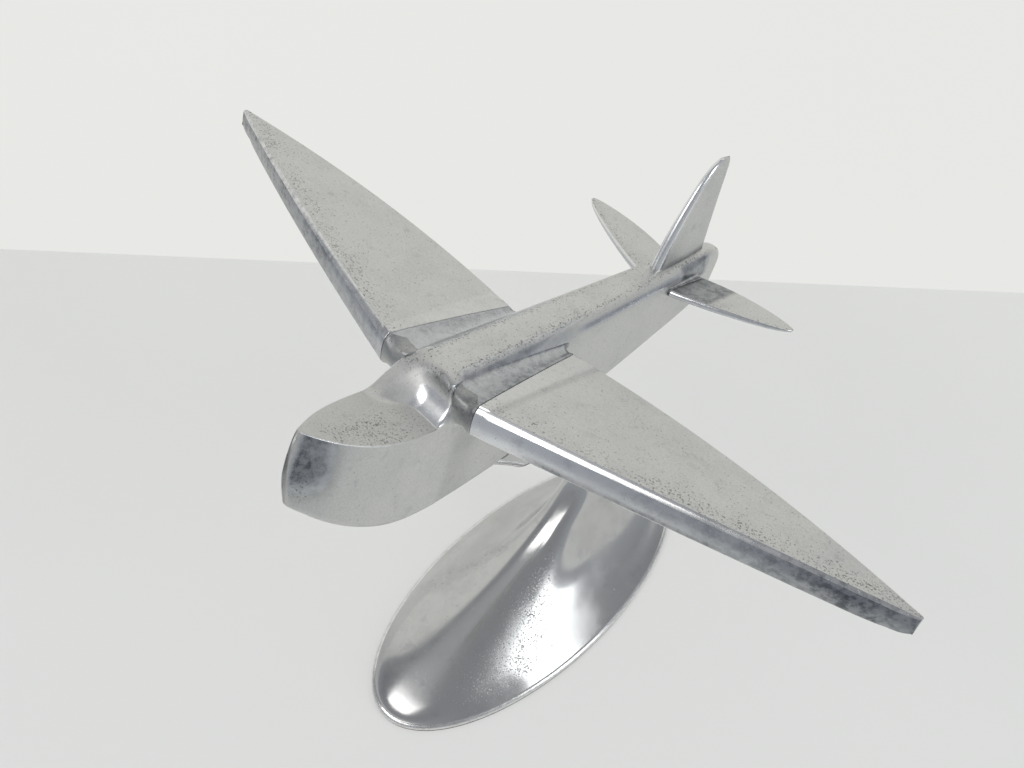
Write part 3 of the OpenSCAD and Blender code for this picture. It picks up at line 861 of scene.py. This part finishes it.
def stand_marks(i, j):
    edge = 1.0 if 1 <= i <= 10 else 0.5 if i == 11 else 0.0
    x, y, z = stand_rings[i][j]
    bearing = math.degrees(math.atan2(abs(x), -(y - 20)))
    speckled = smooth(1 - abs(bearing - 29) / 24) * between(z, 5, 4, 45, 20)
    blot = smooth((16 - z) / 8) * smooth((-y - 62) / 16) * smooth((2 - x) / 10)
    if i <= 12:
        speckled, blot = 0.0, 0.0
    return 0.4 if i < 10 else 1.0, edge, speckled * (1.0 if x > 0 else 0.7), 0.35 * blot


bm = bmesh.new()
skin(bm, stand_rings, stand_marks)
seat = AIRFRAME @ Vector((0, SEAT_Y, SEAT_Z))
belly_slope = Matrix.Rotation(math.atan(SEAT_SLOPE), 3, "X")
seat_normal = (AIRFRAME.to_3x3() @ belly_slope @ Vector((0, 0, 1))).normalized()
bmesh.ops.bisect_plane(bm, geom=bm.verts[:] + bm.edges[:] + bm.faces[:], dist=1e-4,
                       plane_co=seat * 1000, plane_no=seat_normal, clear_outer=True)
rim = [e for e in bm.edges if e.is_boundary]
bmesh.ops.holes_fill(bm, edges=rim, sides=0)
ease_edges(bm, rim, 0.35, 3)
piece("stand_casting", bm, TO_METRES, "stand")

# %% [markdown]
# The felt
# A thin felt pad keeps the foot from scratching the table. It is a flat oval a little smaller
# than the foot, so only its dark edge shows as a line under the lip.

# %% Felt pad
FELT_INSET, FELT_TALL = 0.3, 1.2
bm = bmesh.new()
bmesh.ops.create_circle(bm, cap_ends=True, radius=1, segments=180)
oval = (FOOT_W / 2 - FELT_INSET, FOOT_LEN / 2 - FELT_INSET, 1)
bmesh.ops.scale(bm, vec=oval, verts=bm.verts)
grown = bmesh.ops.extrude_face_region(bm, geom=bm.faces[:])["geom"]
lifted = [g for g in grown if isinstance(g, bmesh.types.BMVert)]
bmesh.ops.translate(bm, vec=(0, 0, FELT_TALL), verts=lifted)
bmesh.ops.recalc_face_normals(bm, faces=bm.faces)
upright_edges = [e for e in bm.edges if abs(e.verts[0].co.z - e.verts[1].co.z) < 0.01]
ease_edges(bm, upright_edges, 0.2, 2)
felt = piece("felt_oval", bm, TO_METRES, "felt_pad")

# %% [markdown]
# Shader helpers
# A material is a small network of nodes. A few short helpers keep the recipes readable: one adds
# a node and feeds its sockets, the others join values and colours.

# %% Node helpers
def feed(tree, socket, value):
    """Gives a socket a link or a constant."""
    if isinstance(value, bpy.types.NodeSocket):
        tree.links.new(value, socket)
    else:
        socket.default_value = value


def feed_all(tree, node, **inputs):
    """Inputs are named as on the node, or i0, i1 and so on by number."""
    for key, value in inputs.items():
        numbered = key[0] == "i" and key[1:].isdigit()
        feed(tree, node.inputs[int(key[1:]) if numbered else key.replace("_", " ")], value)


def add(tree, kind, settings=None, **inputs):
    node = tree.nodes.new(kind)
    for key, value in (settings or {}).items():
        setattr(node, key, value)
    feed_all(tree, node, **inputs)
    return node


def math_node(tree, operation, a, b=0.0, c=0.0, clamped=False):
    settings = {"operation": operation, "use_clamp": clamped}
    return add(tree, "ShaderNodeMath", settings, i0=a, i1=b, i2=c).outputs[0]


def times(tree, a, b, clamped=False):
    return math_node(tree, "MULTIPLY", a, b, clamped=clamped)


def times_add(tree, a, b, c, clamped=False):
    return math_node(tree, "MULTIPLY_ADD", a, b, c, clamped)


def ramp(tree, value, low, high, from_value=0.0, to_value=1.0):
    node = add(tree, "ShaderNodeMapRange", {"interpolation_type": "SMOOTHSTEP"},
               Value=value, From_Min=low, From_Max=high, To_Min=from_value, To_Max=to_value)
    return node.outputs[0]


def blend(tree, factor, a, b):
    node = tree.nodes.new("ShaderNodeMix")
    node.data_type = "RGBA"
    for number, value in ((0, factor), (6, a), (7, b)):
        feed(tree, node.inputs[number], value)
    return node.outputs[2]


def shade(colour, factor):
    return [c * factor for c in colour[:3]] + [1]


def noise(tree, coords, scale, detail=2.0, roughness=0.5):
    return add(tree, "ShaderNodeTexNoise", None, Vector=coords, Scale=scale, Detail=detail,
               Roughness=roughness).outputs["Fac"]


def new_group(name, inputs, outputs):
    """A node group with float sockets. inputs maps names to default values."""
    group = bpy.data.node_groups.new(name, "ShaderNodeTree")
    kind = "NodeSocketFloat"
    for key, value in inputs.items():
        group.interface.new_socket(name=key, in_out="INPUT", socket_type=kind).default_value = value
    for key in outputs:
        group.interface.new_socket(name=key, in_out="OUTPUT", socket_type=kind)
    return group, group.nodes.new("NodeGroupInput").outputs, group.nodes.new("NodeGroupOutput")


def put_out(group, end, **values):
    """Joins a group's results to its output sockets."""
    for key, value in values.items():
        group.links.new(value, end.inputs[key])
    print(group.name, "has", len(group.nodes), "nodes")


print("shader helpers ready")

# %% [markdown]
# Casting pits
# Sand casting leaves tiny dark pits. They are not even: they come in clouds, and on top of them lie
# a few larger holes. Two fine noises at different scales give the small speckle, one wide noise
# gathers it in clouds, and a cell pattern adds the single holes.

# %% The pits group
pits_group, given, end = new_group("casting_pits", {"Amount": 0.6},
                                   ("Pits", "Holes", "Grain", "Mottle"))
where = add(pits_group, "ShaderNodeTexCoord").outputs["Object"]
fine = noise(pits_group, where, 2100.0, 2.0, 0.6)
coarse = noise(pits_group, where, 1150.0, 2.0, 0.55)
clouds = ramp(pits_group, noise(pits_group, where, 95.0, 3.0, 0.65), 0.32, 0.66)
mixed = math_node(pits_group, "ADD", times(pits_group, fine, 0.4), times(pits_group, coarse, 0.6))
plenty = times(pits_group, given["Amount"], times_add(pits_group, clouds, 0.4, 0.6))
threshold = times_add(pits_group, plenty, 0.14, 0.345)
pits_mask = ramp(pits_group, math_node(pits_group, "SUBTRACT", threshold, mixed), -0.01, 0.06)
cells = add(pits_group, "ShaderNodeTexVoronoi", None, Vector=where, Scale=420.0, Randomness=1.0)
chosen = ramp(pits_group, noise(pits_group, where, 260.0, 1.0), 0.62, 0.68)
hole = times(pits_group, ramp(pits_group, cells.outputs["Distance"], 0.2, 0.1), chosen)
hole = times(pits_group, hole, ramp(pits_group, given["Amount"], 0.25, 0.8))
mottle = noise(pits_group, where, 1300.0, 2.0, 0.7)
put_out(pits_group, end, Pits=pits_mask, Holes=hole, Grain=fine, Mottle=mottle)

# %% [markdown]
# Handling marks
# Old polished aluminium is never even. Hands and cloths leave broad dull smudges, the oxide
# leaves small dark stains and flecks, and the buffing leaves fine lines across the body. The
# group gives one mask for each.

# %% The smudge group
smudge_group, given, end = new_group("handling_marks", {"Scale": 60.0},
                                     ("Smudge", "Stain", "Fleck", "Brush"))
where = add(smudge_group, "ShaderNodeTexCoord").outputs["Object"]
broad = noise(smudge_group, where, given["Scale"], 4.0, 0.62)
stain = noise(smudge_group, where, times(smudge_group, given["Scale"], 2.7), 5.0, 0.7)
fleck = noise(smudge_group, where, 330.0, 4.0, 0.7)
drawn_out = add(smudge_group, "ShaderNodeMapping", None, Vector=where, Scale=(1600, 130, 1600))
brush = noise(smudge_group, drawn_out.outputs[0], 1.0, 2.0, 0.6)
put_out(smudge_group, end, Smudge=ramp(smudge_group, broad, 0.38, 0.66),
        Stain=ramp(smudge_group, stain, 0.55, 0.72), Fleck=fleck, Brush=brush)

# %% [markdown]
# Worn edges and painted highlights
# Where a hand or a cloth passes most, the metal is brighter. The skins already mark their edges,
# so the group only breaks that mark up with noise, as real wear is broken up. Some of those marks
# are painted highlights: the deck edge and the hollow's wall to port, and the fin's port edge.

# %% The edge group
edge_group, given, end = new_group("edge_wear_and_highlight", {"Edge": 0.0}, ("Wear",))
where = add(edge_group, "ShaderNodeTexCoord").outputs["Object"]
broken = ramp(edge_group, noise(edge_group, where, 420.0, 3.0, 0.6), 0.28, 0.62)
wear_and_highlight = times(edge_group, given["Edge"], times_add(edge_group, broken, 0.6, 0.4), clamped=True)
put_out(edge_group, end, Wear=wear_and_highlight)

# %% [markdown]
# Cast aluminium
# The upper faces of the casting were only sanded: pale, a little warm, satin and speckled with
# pits. The leading edges and shoulders were polished, so they are smoother and look darker,
# because they mirror the darker side of the room; the dark mark paints more of that darkness in,
# as painted reflection, besides oxide and stains. One material does both and the polish mark
# drives the change.

# %% Aluminium material
def new_material(name):
    made = bpy.data.materials.new(name)
    made.use_nodes = True
    tree = made.node_tree
    tree.nodes.clear()
    out = tree.nodes.new("ShaderNodeOutputMaterial")
    shader = tree.nodes.new("ShaderNodeBsdfPrincipled")
    tree.links.new(shader.outputs[0], out.inputs[0])
    return made, tree, shader


def group_node(tree, group, **inputs):
    return add(tree, "ShaderNodeGroup", {"node_tree": group}, **inputs).outputs


STAIN, PIT, HOLE, BRIGHT = ((0.30, 0.31, 0.33, 1), (0.16, 0.155, 0.145, 1),
                            (0.07, 0.068, 0.065, 1), (0.86, 0.86, 0.85, 1))


def aluminium(name, satin, polished, dark, satin_rough, polished_rough, smudge_scale):
    made, tree, shader = new_material(name)
    marks = {m: add(tree, "ShaderNodeAttribute", {"attribute_name": m}).outputs["Fac"] for m in MARKS}
    pits = group_node(tree, pits_group, Amount=marks["pits"])
    hands = group_node(tree, smudge_group, Scale=smudge_scale)
    wear_and_highlight = group_node(tree, edge_group, Edge=marks["edge"])["Wear"]
    buffed = math_node(tree, "SUBTRACT", marks["polish"], 0.15)
    polish = ramp(tree, times_add(tree, hands["Brush"], 0.3, buffed), 0.25, 0.6)
    pale = blend(tree, ramp(tree, pits["Mottle"], 0.3, 0.7), shade(satin, 0.93), shade(satin, 1.04))
    base = blend(tree, polish, pale, polished)
    flecks = times_add(tree, ramp(tree, hands["Fleck"], 0.38, 0.58), -0.26, 1.0)
    smudged = times(tree, hands["Smudge"], times_add(tree, polish, 0.3, 0.1))
    # The dark mark blends towards the dark colour, which is oxide and stains and also painted shade and
    # painted reflection; the wear mask blends towards bright, which is wear and also painted
    # highlights.
    for mask, colour in ((times(tree, marks["dark"], flecks), dark),
                         (smudged, shade(polished, 0.8)),
                         (times(tree, hands["Stain"], 0.25), STAIN),
                         (times(tree, pits["Pits"], 0.6), PIT),
                         (times(tree, pits["Holes"], 0.8), HOLE),
                         (times(tree, wear_and_highlight, 0.8), BRIGHT)):
        base = blend(tree, mask, base, colour)
    rough = math_node(tree, "ADD", ramp(tree, polish, 0.0, 1.0, satin_rough, polished_rough),
                      times(tree, hands["Smudge"], 0.10))
    rough = times_add(tree, pits["Pits"], 0.3, rough)
    rough = times_add(tree, wear_and_highlight, -0.1, rough, clamped=True)
    height = times(tree, pits["Grain"], ramp(tree, polish, 0.0, 1.0, 0.5, 0.06))
    height = math_node(tree, "SUBTRACT", height, times(tree, pits["Pits"], 0.6))
    height = math_node(tree, "SUBTRACT", height, pits["Holes"])
    bump = add(tree, "ShaderNodeBump", None, Strength=0.35, Distance=0.00012, Height=height)
    feed_all(tree, shader, Metallic=1.0, Base_Color=base, Roughness=rough, Normal=bump.outputs[0])
    return made


cast = aluminium("cast_aluminium", (0.67, 0.67, 0.65, 1), (0.80, 0.81, 0.83, 1),
                 (0.095, 0.105, 0.12, 1), 0.46, 0.24, 60.0)
foot_metal = aluminium("polished_casting", (0.57, 0.57, 0.56, 1), (0.58, 0.58, 0.575, 1),
                       (0.22, 0.23, 0.25, 1), 0.4, 0.145, 45.0)
print("aluminium finishes:", cast.name, foot_metal.name)

# %% [markdown]
# Steel and felt
# The rods and pins are plain ground steel with fine turning marks round them. The felt is a
# matted fibre: dark, very rough, with soft height variation.

# %% Steel and felt materials
steel, tree, shader = new_material("ground_steel")
hands = group_node(tree, smudge_group, Scale=120.0)
ground = blend(tree, hands["Smudge"], (0.46, 0.46, 0.47, 1), (0.38, 0.37, 0.36, 1))
turned = add(tree, "ShaderNodeBump", None, Strength=0.2, Distance=0.00005, Height=hands["Brush"])
feed_all(tree, shader, Metallic=1.0, Base_Color=ground, Normal=turned.outputs[0],
         Roughness=times_add(tree, hands["Brush"], 0.25, 0.2))

felt_finish, tree, shader = new_material("felt")
where = add(tree, "ShaderNodeTexCoord").outputs["Object"]
fibre = noise(tree, where, 2600.0, 4.0, 0.7)
tufts = noise(tree, where, 500.0, 2.0, 0.5)
matted = blend(tree, ramp(tree, fibre, 0.3, 0.7), (0.012, 0.013, 0.014, 1), (0.035, 0.036, 0.038, 1))
nap = add(tree, "ShaderNodeBump", None, Strength=0.6, Distance=0.0002, Height=fibre)
feed_all(tree, shader, Base_Color=matted, Normal=nap.outputs[0],
         Roughness=times_add(tree, tufts, 0.1, 0.88))
print("other finishes:", steel.name, felt_finish.name)

# %% [markdown]
# Who wears what
# Each visible piece gets its finish. The rods and the pins are the CAD's own solids, so only the
# material in their slots changes.

# %% Hand out the materials
CAST_SLOTS = {
    "port_wing": "wing_casting", "starboard_wing": "wing_casting", "fin": "tail_casting",
    "port_tailplane": "tail_casting", "starboard_tailplane": "tail_casting",
    "fuselage": "fuselage_casting", "stand": "stand_casting",
}
for node, slot in CAST_SLOTS.items():
    made = bpy.data.objects[node + "_casting"]
    made.data.materials.append(foot_metal if node == "stand" else cast)
felt.data.materials.append(felt_finish)
for name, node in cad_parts.items():
    if "rod" in name or "pins" in name:
        for slot in node.material_slots:
            slot.material = steel
print("materials made:", len(bpy.data.materials))

# %% [markdown]
# The studio
# The model stands on a pale table in front of a pale wall. Both are real surfaces here, because
# polished metal shows them. Metal is lit by what it mirrors, so the room matters more than any
# lamp. Seen from the foot's highlights, the room has a tall window to port and a soft lamp high
# up ahead, and it is dim elsewhere. The table and the wall end just outside the picture, which
# gives the leading edges something dark to mirror. The wall can't be seen from behind, so that
# the model can be looked at from there as well.

# %% Floor and wall
def flat_sheet(name, corners, colour, glow_share, one_sided=False):
    bm = bmesh.new()
    bmesh.ops.create_grid(bm, x_segments=1, y_segments=1, size=1.0)
    for v in bm.verts:
        s, t = (v.co.x + 1) / 2, (v.co.y + 1) / 2
        v.co = mix(mix(corners[0], corners[1], s), mix(corners[2], corners[3], s), t)
    made = to_object(name, bm)
    finish, tree, shader = new_material(name + "_paint")
    where = add(tree, "ShaderNodeTexCoord").outputs["Object"]
    tone = noise(tree, where, 3.0, 2.0, 0.5)
    feed_all(tree, shader, Base_Color=blend(tree, tone, colour, shade(colour, 0.985)), Roughness=0.7)
    rays = tree.nodes.new("ShaderNodeLightPath").outputs
    looked_at = math_node(tree, "MAXIMUM", rays["Is Camera Ray"], rays["Is Glossy Ray"])
    glow = add(tree, "ShaderNodeEmission", None, Color=blend(tree, tone, colour, shade(colour, 0.97)))
    surface = add(tree, "ShaderNodeMixShader", None, i0=times(tree, looked_at, glow_share),
                  i1=shader.outputs[0], i2=glow.outputs[0]).outputs[0]
    if one_sided:
        behind = tree.nodes.new("ShaderNodeNewGeometry").outputs["Backfacing"]
        clear = tree.nodes.new("ShaderNodeBsdfTransparent").outputs[0]
        surface = add(tree, "ShaderNodeMixShader", None, i0=behind, i1=surface, i2=clear).outputs[0]
    tree.links.new(surface, tree.nodes["Material Output"].inputs[0])
    made.data.materials.append(finish)
    return made


base_left, base_right = Vector((-0.4076, -0.0669, 0)), Vector((0.0739, 0.3603, 0))
wall_way = (base_right - base_left).normalized()
ahead = Vector((wall_way.y, -wall_way.x, 0))
wall_mid = base_left - wall_way * base_left.dot(wall_way)


def on_table(along, out, height=0.0):
    return wall_mid + wall_way * along + ahead * out + Vector((0, 0, height))


table_corners = [on_table(along, out) for out in (0, 0.57) for along in (-0.6, 0.55)]
wall_corners = [on_table(along, 0, up) for up in (0, 0.8) for along in (-0.6, 0.42)]
flat_sheet("table", table_corners, (0.89, 0.895, 0.875, 1), 0.5)
flat_sheet("wall", wall_corners, (0.82, 0.825, 0.80, 1), 1.0, one_sided=True)
print("wall runs along", [round(v, 3) for v in wall_way])

# %% [markdown]
# The dim room and the two lights
# The room around is darker and a little bluer near the horizon than overhead, with one soft pale
# patch above the wing. The window is tall and narrow, the lamp wide and low.

# %% Lights
world = bpy.data.worlds.new("dim_room")
bpy.context.scene.world = world
world.use_nodes = True
tree = world.node_tree
sky = tree.nodes["Background"]
way = add(tree, "ShaderNodeTexCoord").outputs["Generated"]
height = add(tree, "ShaderNodeSeparateXYZ", None, Vector=way).outputs["Z"]
room = blend(tree, ramp(tree, height, 0.0, 0.5), (0.42, 0.44, 0.47, 1), (0.33, 0.34, 0.36, 1))
toward = add(tree, "ShaderNodeVectorMath", {"operation": "DOT_PRODUCT"},
             i0=way, i1=(-0.2, -0.24, 0.95)).outputs["Value"]
room = blend(tree, ramp(tree, toward, 0.955, 0.99), room, (0.46, 0.47, 0.49, 1))
seen = add(tree, "ShaderNodeLightPath").outputs["Is Camera Ray"]
feed_all(tree, sky, Color=blend(tree, seen, room, (0.78, 0.79, 0.77, 1)), Strength=1.0)


def soft_light(name, bearing, height, distance, width, tall, watts, colour=(1, 1, 1)):
    """bearing is measured from the nose's direction towards port, in degrees."""
    b, h = math.radians(bearing), math.radians(height)
    way = Vector((math.sin(b) * math.cos(h), -math.cos(b) * math.cos(h), math.sin(h)))
    data = bpy.data.lights.new(name, "AREA")
    data.shape = "RECTANGLE"
    data.size, data.size_y = width, tall
    data.energy = watts
    data.color = colour
    made = bpy.data.objects.new(name, data)
    place = way * distance + Vector((0, 0, 0.1))
    made.matrix_world = Matrix.Translation(place) @ way.to_track_quat("Z", "Y").to_matrix().to_4x4()
    bpy.context.scene.collection.objects.link(made)
    radiance = watts / (math.pi * width * tall)
    print(name, "at", [round(v, 2) for v in place], "radiance", round(radiance, 2))


soft_light("window", 104.5, 28, 1.6, 0.38, 1.2, 5.6, (0.97, 0.99, 1.0))
soft_light("lamp", -11, 46, 1.6, 1.15, 0.58, 5.4, (1.0, 0.99, 0.97))
bpy.context.scene.view_settings.view_transform = "Standard"
